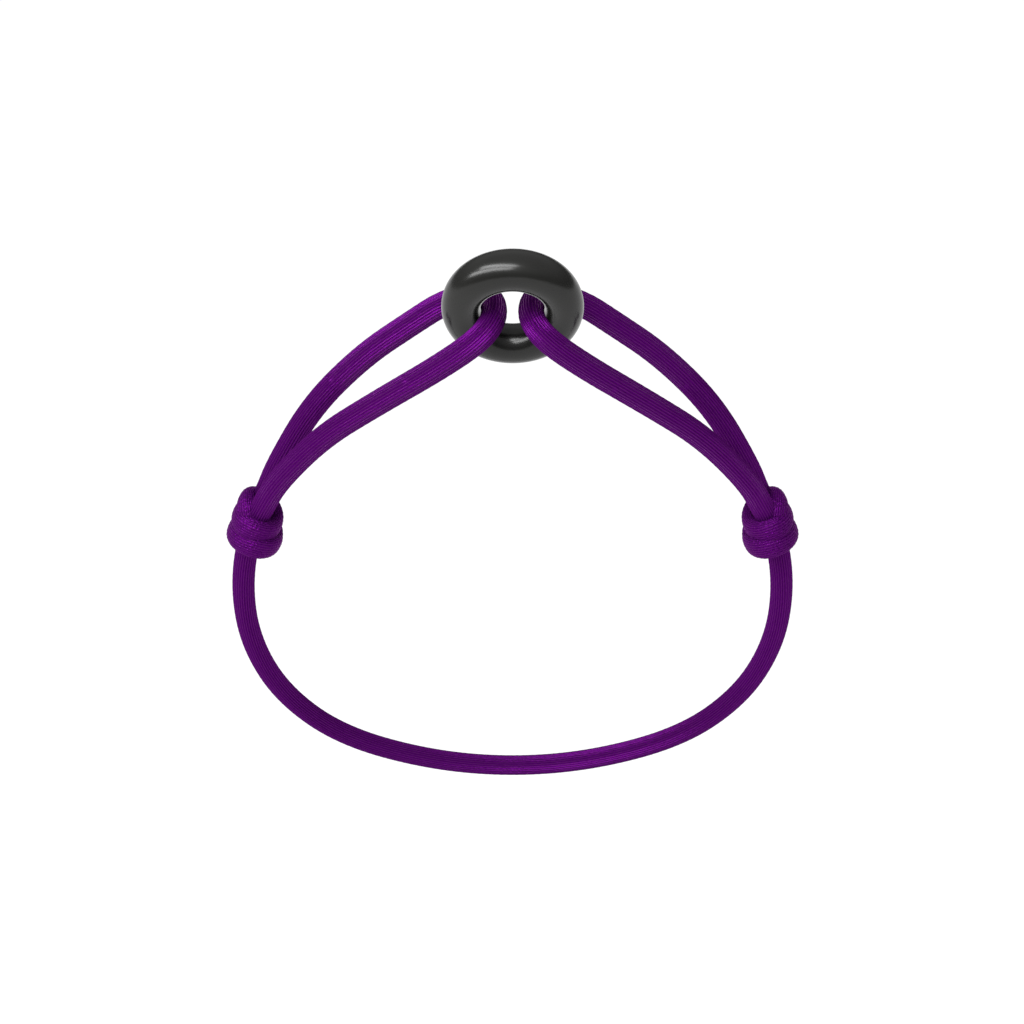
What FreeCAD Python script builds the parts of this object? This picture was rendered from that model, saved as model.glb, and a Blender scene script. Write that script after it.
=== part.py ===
import FreeCAD, Part
import math
import os

# Adjustable cord bracelet: a polished ring held in two bights of one cord, with a sliding knot on each side.
# +X is the wearer's right, +Y goes through the wrist opening, +Z points up to the ring.
# The origin is the centre of the wrist opening, in the plane of the strand. Millimetres.

CORD_D = 2.5                 # satin braided cord
CORD_R = CORD_D / 2

# Ring: an oval section turned about the ring's own axis. It stands in the plane of the loop, with its top
# leant forward.
RING_CENTRE_Y = -1.3
RING_CENTRE_Z = 36.29
RING_MEAN_R = 4.92           # ring axis to the middle of the section
RING_SECTION_RADIAL = 1.86   # half the section's width, across the axis
RING_SECTION_AXIAL = 2.04    # half the section's height, along the axis
RING_LEAN = 18.4             # degrees forward from upright

# Each knot slides on a round stretch of the strand. These are for the left side, and the right is its mirror.
TRACK_X = 3.0
TRACK_Z = -3.5
TRACK_R = 34.0
KNOT_ANGLE = 24.1            # degrees up the track from the level of its centre
KNOT_TOP_ANGLE = 30.5        # where the legs leave the knot
KNOT_FOOT_ANGLE = 17.7       # where the strand leaves the knot
LEG_PITCH = 2.6              # from the strand's centre to the tied leg's centre, inside the knot

# Turns of the knot: pulled tight, so the cord is flattened against what it grips.
TURNS = 3
TURN_RADIAL = 0.8            # half the flattened cord's thickness
TURN_AXIAL = 1.25            # half its width
TURN_PITCH = 2.55
TURN_CLEARANCE = 0.3         # round the strand and the tied end

# Routes of the cord, chosen by hand: corner points that straight runs and tangent arcs follow.
LOWER_STRAND_LEFT_HALF = [
    (-26.3, 0, 13.8),
    (-28.7, 0, 9.7),
    (-31.1, 0, 0.6),
    (-30.9, 0, -8.7),
    (-27.9, 0, -17.3),
    (-21.4, 0, -24.4),
    (-10.8, 0, -28.8),
]
LOWER_STRAND_MIDDLE = [(0, 0, -30.2)]

LEFT_BACK_LEG = [
    (-26.3, 0, 13.8),
    (-24.4, 0, 17.0),
    (-20.4, 0.6, 24.3),
    (-15.0, 1.4, 29.6),
    (-9.6, 2.1, 33.25),
]

LEFT_FRONT_LEG = [
    (-26.3, -2.6, 13.8),
    (-24.4, -2.6, 17.0),
    (-19.3, -2.9, 22.6),
    (-13.75, -3.3, 26.65),
    (-9.75, -3.7, 29.45),
]

LEFT_BIGHT = [
    (-9.6, 2.1, 33.25),
    (-6.9, 2.45, 35.075),
    (-3.25, 2.6, 36.17),
    (-1.7, 0.2, 36.4),
    (-1.7, -2.6, 35.55),
    (-3.4, -4.3, 34.15),
    (-7.35, -3.94, 31.13),
    (-9.75, -3.7, 29.45),
]

RUN_SHARE = 0.45             # share of the shorter run that each arc takes


def point(place):
    return FreeCAD.Vector(*place)


def mirrored(route):
    return [(-x, y, z) for x, y, z in route]


def route_wire(name, route):
    """Straight runs joined by arcs as large as the runs beside each corner allow."""
    corners = [point(place) for place in route]
    edges = []
    radii = []
    here = corners[0]
    for before, corner, after in zip(corners, corners[1:], corners[2:]):
        back = before - corner
        ahead = after - corner
        reach = RUN_SHARE * min(back.Length, ahead.Length)
        half_turn = (math.pi - back.getAngle(ahead)) / 2
        radius = reach / math.tan(half_turn)
        back.normalize()
        ahead.normalize()
        inward = back + ahead
        inward.normalize()
        start = corner + back * reach
        end = corner + ahead * reach
        middle = corner + inward * (radius / math.cos(half_turn) - radius)
        edges.append(Part.LineSegment(here, start).toShape())
        edges.append(Part.Arc(start, middle, end).toShape())
        radii.append(round(radius, 1))
        here = end
    edges.append(Part.LineSegment(here, corners[-1]).toShape())
    print(name, "arc radii", radii)
    return Part.Wire(edges)


def cord_tube(name, route):
    """A round tube of the cord's diameter along a route."""
    path = route_wire(name, route)
    start = point(route[0])
    outline = Part.Circle(start, point(route[1]) - start, CORD_R).toShape()
    tube = path.makePipeShell([Part.Wire([outline])], True, False)
    expected = math.pi * CORD_R ** 2 * path.Length
    print(name, "length %.1f, volume %.1f of %.1f" % (path.Length, tube.Volume, expected))
    return tube


def ring():
    """Oval section turned about Z, then stood up, leant forward and lifted to the top of the loop."""
    top = point((RING_MEAN_R, 0, RING_SECTION_AXIAL))
    side = point((RING_MEAN_R + RING_SECTION_RADIAL, 0, 0))
    section = Part.Ellipse(top, side, point((RING_MEAN_R, 0, 0))).toShape()
    solid = Part.Face(Part.Wire([section])).revolve(point((0, 0, 0)), point((0, 0, 1)), 360)
    solid.rotate(point((0, 0, 0)), point((1, 0, 0)), 90 + RING_LEAN)
    solid.translate(point((0, RING_CENTRE_Y, RING_CENTRE_Z)))
    return solid


def on_track(angle, y=0):
    """A place on the left knot's round track, at an angle up from the level of its centre."""
    turn = math.radians(angle)
    return point((TRACK_X - TRACK_R * math.cos(turn), y, TRACK_Z + TRACK_R * math.sin(turn)))


def knot_turn():
    """One turn round the strand, at the local origin, and the tied end, one pitch in front of it."""
    bend = CORD_R + TURN_CLEARANCE + TURN_RADIAL
    right_back = point((bend, 0, 0))
    right_front = point((bend, -LEG_PITCH, 0))
    left_front = point((-bend, -LEG_PITCH, 0))
    left_back = point((-bend, 0, 0))
    front = point((0, -LEG_PITCH - bend, 0))
    back = point((0, bend, 0))
    path = Part.Wire([
        Part.LineSegment(right_back, right_front).toShape(),
        Part.Arc(right_front, front, left_front).toShape(),
        Part.LineSegment(left_front, left_back).toShape(),
        Part.Arc(left_back, back, right_back).toShape(),
    ])
    tall = right_back + point((0, 0, TURN_AXIAL))
    wide = right_back + point((TURN_RADIAL, 0, 0))
    section = Part.Ellipse(tall, wide, right_back).toShape()
    return path.makePipeShell([Part.Wire([section])], True, False)


def left_knot():
    """The turns side by side up the track, each square to the strand."""
    pitch_angle = math.degrees(TURN_PITCH / TRACK_R)
    turns = []
    for number in range(TURNS):
        angle = KNOT_ANGLE + (number - (TURNS - 1) / 2) * pitch_angle
        turn = knot_turn()
        turn.rotate(point((0, 0, 0)), point((0, 1, 0)), angle)
        turn.translate(on_track(angle))
        turns.append(turn)
    return Part.makeCompound(turns)


def left_tied_end():
    """The cord's buried end: a round bar along the track, in front of the strand."""
    middle = on_track(KNOT_FOOT_ANGLE, -LEG_PITCH)
    foot = math.radians(KNOT_FOOT_ANGLE)
    along = point((math.sin(foot), 0, math.cos(foot)))
    outline = Part.Circle(middle, along, CORD_R).toShape()
    face = Part.Face(Part.Wire([outline]))
    track_centre = point((TRACK_X, -LEG_PITCH, TRACK_Z))
    return face.revolve(track_centre, point((0, 1, 0)), KNOT_TOP_ANGLE - KNOT_FOOT_ANGLE)


def mirror_image(shape):
    return shape.mirror(point((0, 0, 0)), point((1, 0, 0)))


def write(node, shape):
    if not shape.isValid():
        raise ValueError(node + " is not a valid shape")
    shape.exportStep("parts/" + node + ".step")
    print(node, "solids", len(shape.Solids), "volume %.1f" % shape.Volume)


os.makedirs("parts", exist_ok=True)

write("ring", ring())

right_half = list(reversed(mirrored(LOWER_STRAND_LEFT_HALF)))
lower_strand_route = LOWER_STRAND_LEFT_HALF + LOWER_STRAND_MIDDLE + right_half
write("lower_strand", cord_tube("lower_strand", lower_strand_route))

for part_name, left_route in (
    ("back_leg", LEFT_BACK_LEG),
    ("front_leg", LEFT_FRONT_LEG),
    ("bight", LEFT_BIGHT),
):
    write("left_" + part_name, cord_tube("left_" + part_name, left_route))
    write("right_" + part_name, cord_tube("right_" + part_name, mirrored(left_route)))

knot = left_knot()
write("left_knot", knot)
write("right_knot", mirror_image(knot))

tied_end = left_tied_end()
write("left_tied_end", tied_end)
write("right_tied_end", mirror_image(tied_end))
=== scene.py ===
import math

import bpy
from mathutils import Matrix, Vector


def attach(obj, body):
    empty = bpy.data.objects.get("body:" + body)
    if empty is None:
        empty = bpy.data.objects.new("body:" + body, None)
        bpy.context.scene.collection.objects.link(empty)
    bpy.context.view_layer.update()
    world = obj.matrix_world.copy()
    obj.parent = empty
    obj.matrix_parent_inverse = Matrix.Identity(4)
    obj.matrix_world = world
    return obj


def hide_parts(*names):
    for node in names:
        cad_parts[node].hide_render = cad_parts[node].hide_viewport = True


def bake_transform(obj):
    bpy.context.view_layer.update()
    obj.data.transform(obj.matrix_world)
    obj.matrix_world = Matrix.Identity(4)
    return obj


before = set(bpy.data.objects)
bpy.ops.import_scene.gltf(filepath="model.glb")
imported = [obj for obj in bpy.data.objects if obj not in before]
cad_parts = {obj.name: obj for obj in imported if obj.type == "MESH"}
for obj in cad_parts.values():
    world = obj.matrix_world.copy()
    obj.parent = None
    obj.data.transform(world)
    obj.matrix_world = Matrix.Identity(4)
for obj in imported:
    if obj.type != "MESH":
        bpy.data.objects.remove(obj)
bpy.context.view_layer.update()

# ---------------------------------------------------------------- camera
# Stands in front of the loop and above it, and looks down at its middle. The ring at the top leans
# towards it.
CAMERA_DOWN = math.radians(37)
CAMERA_DISTANCE = 0.1314
SENSOR_WIDTH = 36            # mm, as the lens is
LENS = 42.54
NEAREST = 0.005
LOOK_AT = Vector((-0.00006, 0, 0.011))

camera_data = bpy.data.cameras.new("camera")
camera_data.sensor_width = SENSOR_WIDTH
camera_data.lens = LENS
camera_data.clip_start = NEAREST
camera = bpy.data.objects.new("camera", camera_data)
bpy.context.scene.collection.objects.link(camera)
back_and_up = Vector((0, -math.cos(CAMERA_DOWN), math.sin(CAMERA_DOWN)))
camera.location = LOOK_AT + CAMERA_DISTANCE * back_and_up
camera.rotation_euler = (math.pi / 2 - CAMERA_DOWN, 0, 0)
bpy.context.scene.camera = camera

# ---------------------------------------------------------------- the cord's route
# One cord makes the bracelet. From the left knot it climbs in front as the left front leg, goes through the
# ring and back round its rim, and runs down and round the wrist as the strand. On the right it does the same
# in mirror. Routes are in mm.
MM = 0.001
CORD_D = 0.0025
LINE_STEPS = 24              # points of the smooth line for each control point
FINE_STEP = 0.0001           # between the places where the cord's twist is followed
STRAIGHT_ON = 1e-9           # a turn smaller than this is none

LEFT_FRONT_LEG = [
    (-9.75, -3.7, 29.45),
    (-13.75, -3.3, 26.65),
    (-19.3, -2.9, 22.6),
    (-24.4, -2.6, 17.0),
    (-26.3, -2.6, 13.8),
    (-27.2, -2.4, 12.0),
    (-28.0, -2.1, 10.1),
    (-28.2, -0.9, 9.4),
    (-28.0, 0.5, 9.5),
    (-27.2, 0.8, 11.2),
]
LEFT_BIGHT = [
    (-17.7, 1.0, 26.95),
    (-15.0, 1.4, 29.6),
    (-9.6, 2.1, 33.15),
    (-6.9, 2.45, 34.85),
    (-3.3, 2.6, 36.0),
    (-1.8, 0.2, 36.25),
    (-1.75, -2.6, 35.6),
    (-3.4, -4.3, 34.25),
    (-7.35, -3.94, 31.13),
    (-9.75, -3.7, 29.45),
]
LEFT_BACK_LEG = [
    (-17.7, 1.0, 26.95),
    (-20.45, 0.6, 24.3),
    (-24.8, 0, 17.2),
    (-26.3, 0, 13.8),
]
LEFT_UNDER = [
    (-28.5, 0, 9.7),
    (-30.9, 0, 0.6),
    (-30.9, 0, -8.7),
    (-27.9, 0, -17.3),
    (-21.4, 0, -24.4),
    (-10.8, 0, -28.8),
]
MIDDLE = [(0, 0, -30.2)]


def mirrored(route):
    return [(-x, y, z) for x, y, z in route]


def metres(route):
    return [Vector(place) * MM for place in route]


def smooth_line(name, route):
    """The line of a NURBS spline that has the route's points, in metres, as its control points."""
    curve = bpy.data.curves.new(name, "CURVE")
    curve.dimensions = "3D"
    curve.resolution_u = LINE_STEPS
    spline = curve.splines.new("NURBS")
    spline.points.add(len(route) - 1)
    for point, place in zip(spline.points, route):
        point.co = (*place, 1)
    spline.order_u = 3
    spline.use_endpoint_u = True
    holder = bpy.data.objects.new(name, curve)
    mesh = bpy.data.meshes.new_from_object(holder)
    line = [vertex.co.copy() for vertex in mesh.vertices]
    bpy.data.objects.remove(holder)
    bpy.data.meshes.remove(mesh)
    bpy.data.curves.remove(curve)
    return line


def line_length(line):
    return sum((b - a).length for a, b in zip(line, line[1:]))


def evenly(line, spacing):
    """Places along the line, about that far apart, with both its ends."""
    count = max(2, round(line_length(line) / spacing))
    step = line_length(line) / count
    places = [line[0].copy()]
    gone = 0.0
    for a, b in zip(line, line[1:]):
        run = (b - a).length
        while len(places) * step <= gone + run and len(places) < count:
            places.append(a.lerp(b, (len(places) * step - gone) / run))
        gone += run
    places.append(line[-1].copy())
    return places


def headings(places):
    """The direction of travel at each place."""
    befores = [places[0]] + places[:-1]
    afters = places[1:] + [places[-1]]
    return [(after - before).normalized() for before, after in zip(befores, afters)]


def untwisted(places, ways, first_side):
    """A direction square to the cord at each place, carried along from the first without twist."""
    side = (first_side - ways[0] * first_side.dot(ways[0])).normalized()
    sides = [side]
    for here, there, way, next_way in zip(places, places[1:], ways, ways[1:]):
        gap = there - here
        side = side - gap * (2 * gap.dot(side) / gap.dot(gap))
        way = way - gap * (2 * gap.dot(way) / gap.dot(gap))
        turn = next_way - way
        if turn.length > STRAIGHT_ON:
            side = side - turn * (2 * turn.dot(side) / turn.dot(turn))
        side = (side - next_way * side.dot(next_way)).normalized()
        sides.append(side)
    return sides


strand_half = LEFT_BACK_LEG + LEFT_UNDER
stretches = {
    "left_front": LEFT_FRONT_LEG[::-1],
    "left_bight": LEFT_BIGHT[::-1],
    "strand": strand_half + MIDDLE + mirrored(strand_half)[::-1],
    "right_bight": mirrored(LEFT_BIGHT),
    "right_front": mirrored(LEFT_FRONT_LEG),
}
routes = {}
lines = {}
first_sides = {}
cord_starts = {}
side = Vector((0, 1, 0))
cord_gone = 0.0
for stretch, route in stretches.items():
    routes[stretch] = metres(route)
    lines[stretch] = smooth_line(stretch, routes[stretch])
    first_sides[stretch] = side
    cord_starts[stretch] = cord_gone
    fine = evenly(lines[stretch], FINE_STEP)
    side = untwisted(fine, headings(fine), side)[-1]
    cord_gone += line_length(lines[stretch])

# ---------------------------------------------------------------- the cord's braid
# Satin yarn braided round a soft core: about 28 fine ribs run along the cord, each a row of small stitches.
# It is dyed deep violet, and the tops of the ribs shine pink-violet where the light strikes them, with
# painted sheen on the rib tops and painted shade in the grooves.
RIBS = 28
POINTS_PER_RIB = 6
TUBE_STEP = 0.0004           # from one ring of the tube's points to the next
RIB_WIDTH = math.pi * CORD_D / RIBS
RIB_HEIGHT = 0.000035
STITCH_HEIGHT = 0.000008
STITCH_LENGTH = 3.4          # in rib widths
FIBRE_STRETCH = (0.3, 3.0, 1)          # fibres for each rib width: along the cord and round it
FIBRE_IN_HEIGHT = 0.5        # of a rib's height
FIBRE_IN_ROUGHNESS = 0.2
SATIN_IOR = 1.09
SATIN_METALLIC = 0.5
SATIN_EDGE_TINT = (0.8, 0.1, 0.8, 1)
# Painted shade in the grooves between the ribs and painted sheen on their tops; a random fibre tone mixes
# between them too.
BRAID_GROOVE_PAINTED_SHADE = (0.066, 0.0, 0.112, 1)
BRAID_RIB_TOP_PAINTED_SHEEN = (0.13, 0.018, 0.155, 1)


def round_section(number, offset):
    return offset


def cord_mesh(name, line, first_side, cord_start, section=round_section, step=TUBE_STEP):
    """A closed tube along the line. Its UV map counts rib widths along the cord and ribs round it.
    section says how an offset from the line changes where the cord is pressed out of round."""
    places = evenly(line, step)
    ways = headings(places)
    sides = untwisted(places, ways, first_side)
    around = RIBS * POINTS_PER_RIB
    vertices = []
    outward = []
    gone = cord_start
    levels = []
    for number, (place, way, side) in enumerate(zip(places, ways, sides)):
        gone += (place - places[max(number - 1, 0)]).length
        levels.append(gone / RIB_WIDTH)
        up = way.cross(side)
        for point in range(around):
            angle = 2 * math.pi * point / around
            offset = (side * math.cos(angle) + up * math.sin(angle)) * (CORD_D / 2 - RIB_HEIGHT)
            offset = section(number, offset)
            vertices.append(place + offset)
            outward.append(offset.normalized())
    faces = []
    corners_uv = []
    for number in range(len(places) - 1):
        for point in range(around):
            after = (point + 1) % around
            low = number * around
            high = low + around
            faces.append((low + point, low + after, high + after, high + point))
            left = point / POINTS_PER_RIB
            right = (point + 1) / POINTS_PER_RIB
            low_level, high_level = levels[number], levels[number + 1]
            corners_uv += [(low_level, left), (low_level, right), (high_level, right), (high_level, left)]
    for number, order in ((0, -1), (len(places) - 1, 1)):
        middle = len(vertices)
        vertices.append(places[number].copy())
        outward.append(Vector((0, 0, 0)))
        low = number * around
        for point in range(around):
            after = (point + 1) % around
            faces.append((middle, low + point, low + after)[::order])
            corners_uv += [(levels[number], 0)] * 3
    mesh = bpy.data.meshes.new(name)
    mesh.from_pydata(vertices, [], faces)
    uv = mesh.uv_layers.new(name="braid")
    uv.data.foreach_set("uv", [value for pair in corners_uv for value in pair])
    lift = mesh.attributes.new("outward", "FLOAT_VECTOR", "POINT")
    lift.data.foreach_set("vector", [value for way_out in outward for value in way_out])
    flat_end = mesh.attributes.new("sharp_face", "BOOLEAN", "FACE")
    flat_end.data.foreach_set("value", [len(corners) == 3 for corners in faces])
    obj = bpy.data.objects.new(name, mesh)
    bpy.context.scene.collection.objects.link(obj)
    return obj


def maths(tree, operation, *values):
    """A Math node on numbers or sockets, and its result."""
    node = tree.nodes.new("ShaderNodeMath")
    node.operation = operation
    for socket, value in zip(node.inputs, values):
        if isinstance(value, (int, float)):
            socket.default_value = value
        else:
            tree.links.new(value, socket)
    return node.outputs[0]


def rib_relief():
    """Raises the ribs and their stitches from a plain tube."""
    tree = bpy.data.node_groups.new("rib_relief", "GeometryNodeTree")
    sockets = tree.interface
    sockets.new_socket("Geometry", in_out="INPUT", socket_type="NodeSocketGeometry")
    for name in ("Rib height", "Stitch height", "Stitch length"):
        sockets.new_socket(name, in_out="INPUT", socket_type="NodeSocketFloat")
    sockets.new_socket("Material", in_out="INPUT", socket_type="NodeSocketMaterial")
    sockets.new_socket("Geometry", in_out="OUTPUT", socket_type="NodeSocketGeometry")
    given = tree.nodes.new("NodeGroupInput")
    result = tree.nodes.new("NodeGroupOutput")

    uv = tree.nodes.new("GeometryNodeInputNamedAttribute")
    uv.data_type = "FLOAT_VECTOR"
    uv.inputs["Name"].default_value = "braid"
    parts = tree.nodes.new("ShaderNodeSeparateXYZ")
    tree.links.new(uv.outputs["Attribute"], parts.inputs[0])
    along, around = parts.outputs["X"], parts.outputs["Y"]
    rib = maths(tree, "COSINE", maths(tree, "MULTIPLY", around, 2 * math.pi))
    half_on = maths(tree, "MULTIPLY", maths(tree, "ROUND", around), math.pi)
    stitches = maths(tree, "DIVIDE", along, given.outputs["Stitch length"])
    stitch = maths(tree, "SINE", maths(tree, "MULTIPLY_ADD", stitches, 2 * math.pi, half_on))
    stitch_lift = maths(tree, "MULTIPLY", stitch, given.outputs["Stitch height"])
    height = maths(tree, "MULTIPLY_ADD", rib, given.outputs["Rib height"], stitch_lift)

    outward = tree.nodes.new("GeometryNodeInputNamedAttribute")
    outward.data_type = "FLOAT_VECTOR"
    outward.inputs["Name"].default_value = "outward"
    push = tree.nodes.new("ShaderNodeVectorMath")
    push.operation = "SCALE"
    tree.links.new(outward.outputs["Attribute"], push.inputs[0])
    tree.links.new(height, push.inputs["Scale"])
    move = tree.nodes.new("GeometryNodeSetPosition")
    tree.links.new(given.outputs["Geometry"], move.inputs["Geometry"])
    tree.links.new(push.outputs[0], move.inputs["Offset"])
    realise = tree.nodes.new("GeometryNodeRealizeInstances")
    tree.links.new(move.outputs[0], realise.inputs[0])
    paint = tree.nodes.new("GeometryNodeSetMaterial")
    tree.links.new(realise.outputs[0], paint.inputs["Geometry"])
    tree.links.new(given.outputs["Material"], paint.inputs["Material"])
    tree.links.new(paint.outputs[0], result.inputs[0])
    return tree


def shaped(obj, tree, values):
    """Runs a geometry tree on a piece with these values and keeps the result as its plain mesh."""
    modifier = obj.modifiers.new("shape", "NODES")
    modifier.node_group = tree
    for item in tree.interface.items_tree:
        if item.in_out == "INPUT" and item.name in values:
            modifier[item.identifier] = values[item.name]
    bpy.context.view_layer.update()
    evaluated = obj.evaluated_get(bpy.context.evaluated_depsgraph_get())
    mesh = bpy.data.meshes.new_from_object(evaluated)
    mesh.name = obj.name
    obj.modifiers.remove(modifier)
    obj.data = mesh


def satin_braid(name, roughness, fleck_size, fleck_height, rib_bump):
    """Satin braid: ribs and fibres along the cord, painted lighter on the rib tops (painted sheen) and
    darker in the grooves (painted shade), and flecks where the stitches catch the light.
    """
    material = bpy.data.materials.new(name)
    material.use_nodes = True
    tree = material.node_tree
    shader = tree.nodes["Principled BSDF"]
    uv = tree.nodes.new("ShaderNodeUVMap")
    uv.uv_map = "braid"
    parts = tree.nodes.new("ShaderNodeSeparateXYZ")
    tree.links.new(uv.outputs[0], parts.inputs[0])
    rib_wave = maths(tree, "COSINE", maths(tree, "MULTIPLY", parts.outputs["Y"], 2 * math.pi))
    rib = maths(tree, "MULTIPLY_ADD", rib_wave, 0.5, 0.5)
    fibre_space = tree.nodes.new("ShaderNodeMapping")
    fibre_space.inputs["Scale"].default_value = FIBRE_STRETCH
    tree.links.new(uv.outputs[0], fibre_space.inputs["Vector"])
    fibres = tree.nodes.new("ShaderNodeTexNoise")
    fibres.inputs["Scale"].default_value = 1.0
    fibres.inputs["Detail"].default_value = 2
    tree.links.new(fibre_space.outputs[0], fibres.inputs["Vector"])
    place = tree.nodes.new("ShaderNodeTexCoord")
    flecks = tree.nodes.new("ShaderNodeTexNoise")
    flecks.inputs["Scale"].default_value = 1 / fleck_size
    flecks.inputs["Detail"].default_value = 1
    tree.links.new(place.outputs["Object"], flecks.inputs["Vector"])

    # Painted sheen and painted shade: the colour is lighter on the rib tops and darker in the grooves
    # between them, times a random fibre tone.
    painted_rib_shade_and_fibre_tone = maths(tree, "MULTIPLY", rib, fibres.outputs[0])
    colour = tree.nodes.new("ShaderNodeMix")
    colour.data_type = "RGBA"
    colour.inputs["A"].default_value = BRAID_GROOVE_PAINTED_SHADE
    colour.inputs["B"].default_value = BRAID_RIB_TOP_PAINTED_SHEEN
    tree.links.new(painted_rib_shade_and_fibre_tone, colour.inputs["Factor"])
    tree.links.new(colour.outputs["Result"], shader.inputs["Base Color"])
    rough = maths(tree, "MULTIPLY_ADD", fibres.outputs[0], FIBRE_IN_ROUGHNESS, roughness)
    tree.links.new(rough, shader.inputs["Roughness"])

    ribs_and_fibres = maths(tree, "MULTIPLY_ADD", fibres.outputs[0], FIBRE_IN_HEIGHT, rib)
    rib_shape = tree.nodes.new("ShaderNodeBump")
    rib_shape.inputs["Strength"].default_value = 1.0
    rib_shape.inputs["Distance"].default_value = rib_bump
    tree.links.new(ribs_and_fibres, rib_shape.inputs["Height"])
    fleck_shape = tree.nodes.new("ShaderNodeBump")
    fleck_shape.inputs["Strength"].default_value = 1.0
    fleck_shape.inputs["Distance"].default_value = fleck_height
    tree.links.new(flecks.outputs[0], fleck_shape.inputs["Height"])
    tree.links.new(rib_shape.outputs[0], fleck_shape.inputs["Normal"])
    tree.links.new(fleck_shape.outputs[0], shader.inputs["Normal"])
    shader.inputs["IOR"].default_value = SATIN_IOR
    shader.inputs["Metallic"].default_value = SATIN_METALLIC
    shader.inputs["Specular Tint"].default_value = SATIN_EDGE_TINT
    return material


relief = rib_relief()
free_braid = satin_braid(
    "satin_braid", roughness=0.27, fleck_size=0.0005, fleck_height=0.00002, rib_bump=0.00002
)
free_values = {
    "Rib height": RIB_HEIGHT,
    "Stitch height": STITCH_HEIGHT,
    "Stitch length": STITCH_LENGTH,
    "Material": free_braid,
}


def cord_piece(stretch):
    """The finished piece for one stretch of the cord."""
    piece = cord_mesh(stretch + "_cord", lines[stretch], first_sides[stretch], cord_starts[stretch])
    shaped(piece, relief, free_values)
    piece.visible_glossy = stretch == "strand"       # the stretches beside the ring stay out of its polish
    return piece


# ---------------------------------------------------------------- strand
# The stretch that goes round the wrist, from the ring's left side through both knots to its right side.
# Both knots slide along it. It is the same satin braid all the way.
strand = cord_piece("strand")
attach(strand, "strand")
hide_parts("lower_strand", "left_back_leg", "right_back_leg")

for side_name, sign in (("left", -1), ("right", 1)):
    bight = cord_piece(side_name + "_bight")
    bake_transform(bight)
    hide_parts(side_name + "_bight")

for side_name, sign in (("left", -1), ("right", 1)):
    leg = cord_piece(side_name + "_front")
    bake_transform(leg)
    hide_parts(side_name + "_front_leg", side_name + "_tied_end")

# ---------------------------------------------------------------- knots
# The tied end comes back up in turns round the strand and itself, pulled so tight that the cord is pressed
# flat and its stitches open into flecks. The knot grips the strand and slides along it.
TRACK_X = 3.0
TRACK_Z = -3.5
TRACK_R = 34.0
KNOT_ANGLE = math.radians(24.1)
PRESSED_THICK = 0.7          # of the round cord
PRESSED_WIDE = 1.08
PRESSED_SQUARE = 2.5         # 2 is a plain oval, and more is squarer
TURN_STEP = 30               # degrees from one control point to the next
TURN_MIDDLE_Y = -1.1
CORE_OUT = -0.3
KNOT_TUBE_STEP = 0.0002
TIGHT_RIB_HEIGHT = RIB_HEIGHT * 0.5
TIGHT_STITCH_HEIGHT = STITCH_HEIGHT * 2
TIGHT_STITCH_LENGTH = 2.0    # in rib widths
#   degrees round, middle, half width, half depth, up the strand (mm)
TURN_TABLE = (
    (-150, -0.3, 1.5, 2.4, -1.9),
    (-90, -0.5, 1.9, 2.6, -1.7),
    (0, -0.6, 2.2, 2.7, -1.5),
    (90, -0.7, 2.2, 3.0, -0.65),
    (135, -0.7, 2.15, 2.9, -0.95),
    (180, -0.7, 2.1, 2.8, -1.75),
    (270, -0.4, 2.0, 2.7, -0.6),
    (360, -0.25, 1.9, 2.6, 0.75),
    (450, -0.1, 2.0, 2.75, 1.3),
    (540, -0.1, 2.05, 2.7, 0.7),
    (630, -0.1, 1.9, 2.6, 1.15),
    (720, -0.1, 1.75, 2.4, 2.4),
)
TUCKED_END = ((1.4, -2.3, 2.3), (1.0, -2.7, 1.7), (0.6, -2.3, 1.0), (0.3, -1.6, 0.4))


def by_strand(out, y, up):
    """A place beside the left strand: out from it, in front of it and up along it, in mm."""
    turn = KNOT_ANGLE + up / TRACK_R
    reach = TRACK_R + out
    return (TRACK_X - reach * math.cos(turn), y, TRACK_Z + reach * math.sin(turn))


def at_turn(angle):
    """The table's values at an angle, on a straight line between its rows."""
    for low, high in zip(TURN_TABLE, TURN_TABLE[1:]):
        if angle <= high[0]:
            share = (angle - low[0]) / (high[0] - low[0])
            return [a + (b - a) * share for a, b in zip(low[1:], high[1:])]


left_turns = []
for angle in range(TURN_TABLE[0][0], TURN_TABLE[-1][0] + 1, TURN_STEP):
    middle, half_width, half_depth, up = at_turn(angle)
    turn = math.radians(angle)
    out = middle + half_width * math.cos(turn)
    left_turns.append(by_strand(out, TURN_MIDDLE_Y - half_depth * math.sin(turn), up))
left_turns += [by_strand(*place) for place in TUCKED_END]
left_core = [by_strand(CORE_OUT, TURN_MIDDLE_Y, up) for up in (0, 1)]


def pressed_section(line, core):
    """Flattens the cord against the core of the knot, and squares its corners against the next turns."""
    places = evenly(line, KNOT_TUBE_STEP)
    ways = headings(places)
    axis = (core[1] - core[0]).normalized()

    def press(number, offset):
        away = places[number] - core[0]
        away -= axis * away.dot(axis)
        away -= ways[number] * away.dot(ways[number])
        away.normalize()
        across = offset.dot(away) / (CORD_D / 2)
        beside = (offset - away * offset.dot(away)) / (CORD_D / 2)
        corner = abs(across) ** PRESSED_SQUARE + beside.length ** PRESSED_SQUARE
        spread = corner ** (-1 / PRESSED_SQUARE) * CORD_D / 2
        return (away * (across * PRESSED_THICK) + beside * PRESSED_WIDE) * spread

    return press


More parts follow.
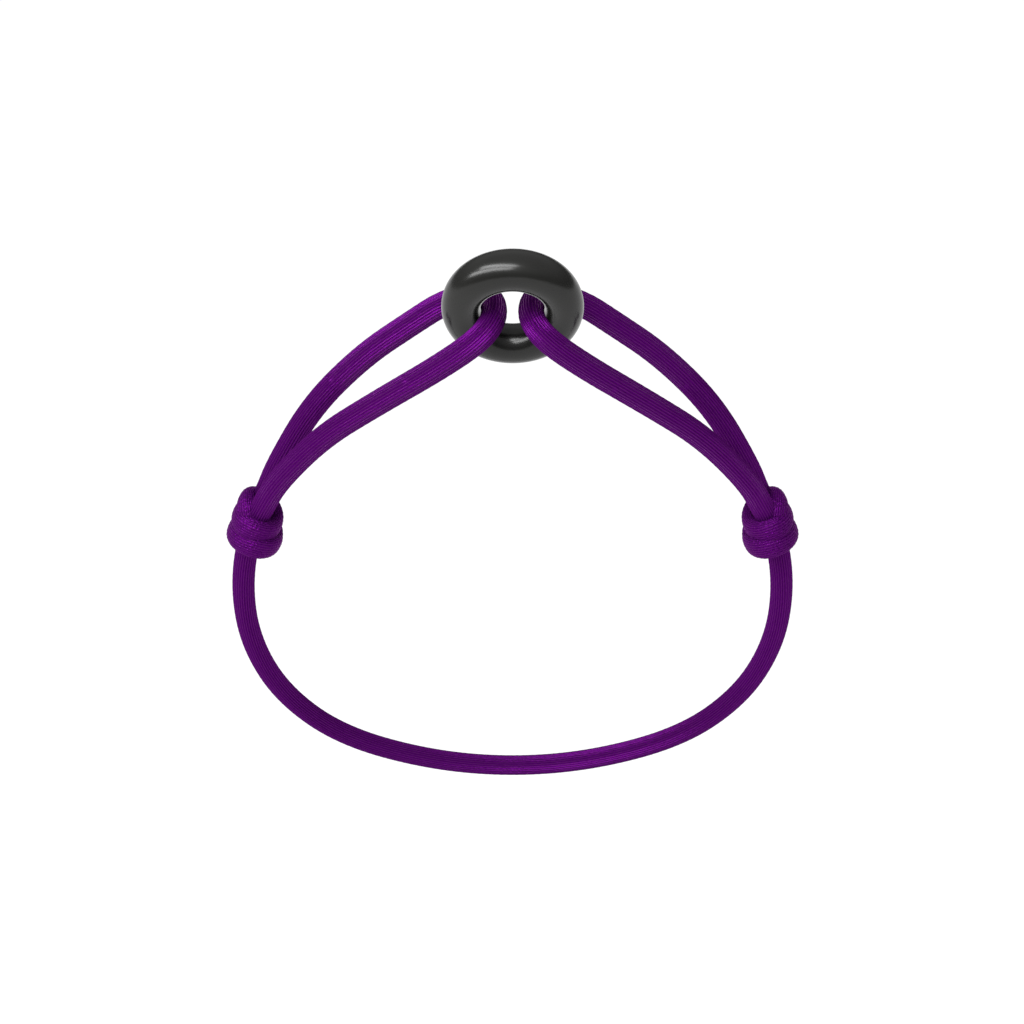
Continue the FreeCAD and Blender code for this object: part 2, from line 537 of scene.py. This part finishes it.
tight_braid = satin_braid(
    "satin_braid_pulled_tight", roughness=0.32, fleck_size=0.00028, fleck_height=0.0002, rib_bump=0.00001
)
tight_values = {
    "Rib height": TIGHT_RIB_HEIGHT,
    "Stitch height": TIGHT_STITCH_HEIGHT,
    "Stitch length": TIGHT_STITCH_LENGTH,
    "Material": tight_braid,
}
for side_name, route, core in (
    ("left", left_turns, left_core), ("right", mirrored(left_turns), mirrored(left_core)),
):
    line = smooth_line(side_name + "_turns", metres(route))
    core = metres(core)
    turns = cord_mesh(
        side_name + "_knot_turns", line, core[1] - core[0], 0.0, pressed_section(line, core), KNOT_TUBE_STEP
    )
    shaped(turns, relief, tight_values)
    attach(turns, side_name + "_slider")
    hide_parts(side_name + "_knot")

# ---------------------------------------------------------------- ring
# A ring turned and polished from one near-black piece, with an oval section. It stands in the plane of the
# loop with its top leant forward, and is held only by the two bights.
RING_LEAN = math.radians(18.4)
RING_CENTRE = Vector((0, -0.0013, 0.03629))
RING_MEAN_R = 0.00492
RING_HALF_THICK = 0.00186
RING_HALF_HEIGHT = 0.00204
RING_POINTS = 240
SECTION_POINTS = 96
RING_BLACK = (0.009, 0.009, 0.0083, 1)
RING_CLOUD = (0.015, 0.015, 0.014, 1)
CLOUDS = 300                 # to the metre
POLISH_ROUGHNESS = 0.19
POLISH_CLOUD = 0.06
POLISH_IOR = 1.42


def turned_ring():
    """An oval section carried round a circle, stood up and leant forward."""
    tree = bpy.data.node_groups.new("turned_ring", "GeometryNodeTree")
    sockets = tree.interface
    sockets.new_socket("Geometry", in_out="INPUT", socket_type="NodeSocketGeometry")
    for name in ("Middle radius", "Half thickness", "Half height"):
        sockets.new_socket(name, in_out="INPUT", socket_type="NodeSocketFloat")
    sockets.new_socket("Material", in_out="INPUT", socket_type="NodeSocketMaterial")
    sockets.new_socket("Geometry", in_out="OUTPUT", socket_type="NodeSocketGeometry")
    given = tree.nodes.new("NodeGroupInput")
    result = tree.nodes.new("NodeGroupOutput")
    path = tree.nodes.new("GeometryNodeCurvePrimitiveCircle")
    path.inputs["Resolution"].default_value = RING_POINTS
    tree.links.new(given.outputs["Middle radius"], path.inputs["Radius"])
    section = tree.nodes.new("GeometryNodeCurvePrimitiveCircle")
    section.inputs["Resolution"].default_value = SECTION_POINTS
    section.inputs["Radius"].default_value = 1.0
    size = tree.nodes.new("ShaderNodeCombineXYZ")
    tree.links.new(given.outputs["Half thickness"], size.inputs["X"])
    tree.links.new(given.outputs["Half height"], size.inputs["Y"])
    size.inputs["Z"].default_value = 1
    oval = tree.nodes.new("GeometryNodeTransform")
    tree.links.new(section.outputs[0], oval.inputs["Geometry"])
    tree.links.new(size.outputs[0], oval.inputs["Scale"])
    sweep = tree.nodes.new("GeometryNodeCurveToMesh")
    tree.links.new(path.outputs[0], sweep.inputs["Curve"])
    tree.links.new(oval.outputs[0], sweep.inputs["Profile Curve"])
    smooth = tree.nodes.new("GeometryNodeSetShadeSmooth")
    tree.links.new(sweep.outputs[0], smooth.inputs["Geometry"])
    stand = tree.nodes.new("GeometryNodeTransform")
    tree.links.new(smooth.outputs[0], stand.inputs["Geometry"])
    stand.inputs["Rotation"].default_value = (math.pi / 2 + RING_LEAN, 0, 0)
    stand.inputs["Translation"].default_value = RING_CENTRE
    realise = tree.nodes.new("GeometryNodeRealizeInstances")
    tree.links.new(stand.outputs[0], realise.inputs[0])
    paint = tree.nodes.new("GeometryNodeSetMaterial")
    tree.links.new(realise.outputs[0], paint.inputs["Geometry"])
    tree.links.new(given.outputs["Material"], paint.inputs["Material"])
    tree.links.new(paint.outputs[0], result.inputs[0])
    return tree


def polished_dark():
    """Near-black and polished, with a faint cloudiness in its colour and its polish."""
    material = bpy.data.materials.new("polished_dark")
    material.use_nodes = True
    tree = material.node_tree
    shader = tree.nodes["Principled BSDF"]
    place = tree.nodes.new("ShaderNodeTexCoord")
    cloud = tree.nodes.new("ShaderNodeTexNoise")
    cloud.inputs["Scale"].default_value = CLOUDS
    cloud.inputs["Detail"].default_value = 4
    tree.links.new(place.outputs["Object"], cloud.inputs["Vector"])
    colour = tree.nodes.new("ShaderNodeMix")
    colour.data_type = "RGBA"
    colour.inputs["A"].default_value = RING_BLACK
    colour.inputs["B"].default_value = RING_CLOUD
    shader.inputs["IOR"].default_value = POLISH_IOR
    tree.links.new(cloud.outputs[0], colour.inputs["Factor"])
    tree.links.new(colour.outputs["Result"], shader.inputs["Base Color"])
    rough = maths(tree, "MULTIPLY_ADD", cloud.outputs[0], POLISH_CLOUD, POLISH_ROUGHNESS)
    tree.links.new(rough, shader.inputs["Roughness"])
    return material


ring = bpy.data.objects.new("polished_ring", bpy.data.meshes.new("polished_ring"))
bpy.context.scene.collection.objects.link(ring)
ring_values = {
    "Middle radius": RING_MEAN_R,
    "Half thickness": RING_HALF_THICK,
    "Half height": RING_HALF_HEIGHT,
    "Material": polished_dark(),
}
shaped(ring, turned_ring(), ring_values)
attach(ring, "ring")
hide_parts("ring")

# ---------------------------------------------------------------- floor and light
# A plain white floor and backdrop, and a surround that is dim at the horizon and brighter overhead but is
# seen as plain white.
# Two long strips of soft light hang side by side at the upper left, in front.
FLOOR_Z = -0.15
FLOOR_HALF = 4.0
FLOOR_GREY = (0.2, 0.2, 0.2, 1)
FLOOR_ROUGHNESS = 0.9
FLOOR_GLOW = 0.92
WHITE = (1, 1, 1, 1)
HORIZON_LIGHT = 0.1
OVERHEAD_LIGHT = 0.5
GLOW_STARTS = 0.1            # height on a sphere of radius 1
GLOW_FULL = 0.7
STRIP_DISTANCE = 0.3         # from the ring
STRIP_WIDTH = 0.055
STRIP_WATTS = 0.55

floor_mesh = bpy.data.meshes.new("floor")
floor_corners = [
    (x * FLOOR_HALF, y * FLOOR_HALF, FLOOR_Z) for x, y in ((-1, -1), (1, -1), (1, 1), (-1, 1))
]
floor_mesh.from_pydata(floor_corners, [], [(0, 1, 2, 3)])
floor = bpy.data.objects.new("floor", floor_mesh)
bpy.context.scene.collection.objects.link(floor)
floor_material = bpy.data.materials.new("white_floor")
floor_material.use_nodes = True
floor_shader = floor_material.node_tree.nodes["Principled BSDF"]
floor_shader.inputs["Base Color"].default_value = FLOOR_GREY
floor_shader.inputs["Roughness"].default_value = FLOOR_ROUGHNESS
floor_shader.inputs["Emission Color"].default_value = WHITE
floor_shader.inputs["Emission Strength"].default_value = FLOOR_GLOW
floor_mesh.materials.append(floor_material)

world = bpy.data.worlds.new("surround")
world.use_nodes = True
world_tree = world.node_tree
sky = world_tree.nodes.new("ShaderNodeTexCoord")
height = world_tree.nodes.new("ShaderNodeSeparateXYZ")
world_tree.links.new(sky.outputs["Generated"], height.inputs[0])
glow = world_tree.nodes.new("ShaderNodeMapRange")
glow.interpolation_type = "SMOOTHSTEP"
glow.inputs["From Min"].default_value = GLOW_STARTS
glow.inputs["From Max"].default_value = GLOW_FULL
glow.inputs["To Min"].default_value = HORIZON_LIGHT
glow.inputs["To Max"].default_value = OVERHEAD_LIGHT
world_tree.links.new(height.outputs["Z"], glow.inputs["Value"])
rays = world_tree.nodes.new("ShaderNodeLightPath")
backdrop = maths(world_tree, "MAXIMUM", glow.outputs[0], rays.outputs["Is Camera Ray"])
world_tree.links.new(backdrop, world_tree.nodes["Background"].inputs["Strength"])
world_tree.nodes["Background"].inputs["Color"].default_value = WHITE
bpy.context.scene.world = world
bpy.context.scene.view_settings.view_transform = "Standard"


def light_strip(name, start, end):
    """A strip of light between two directions from the ring, facing it."""
    begin = RING_CENTRE + Vector(start) * STRIP_DISTANCE
    finish = RING_CENTRE + Vector(end) * STRIP_DISTANCE
    light = bpy.data.lights.new(name, "AREA")
    light.shape = "RECTANGLE"
    light.size = (finish - begin).length
    light.size_y = STRIP_WIDTH
    light.energy = STRIP_WATTS
    strip = bpy.data.objects.new(name, light)
    bpy.context.scene.collection.objects.link(strip)
    middle = (begin + finish) / 2
    backward = (middle - RING_CENTRE).normalized()
    along = (finish - begin).normalized()
    along = (along - backward * along.dot(backward)).normalized()
    across = backward.cross(along)
    strip.matrix_world = Matrix.Translation(middle) @ Matrix((along, across, backward)).transposed().to_4x4()


light_strip("upper_strip", (-0.70, -0.15, 0.70), (0.09, -0.55, 0.83))
light_strip("lower_strip", (-0.88, -0.20, 0.42), (-0.02, -0.72, 0.69))
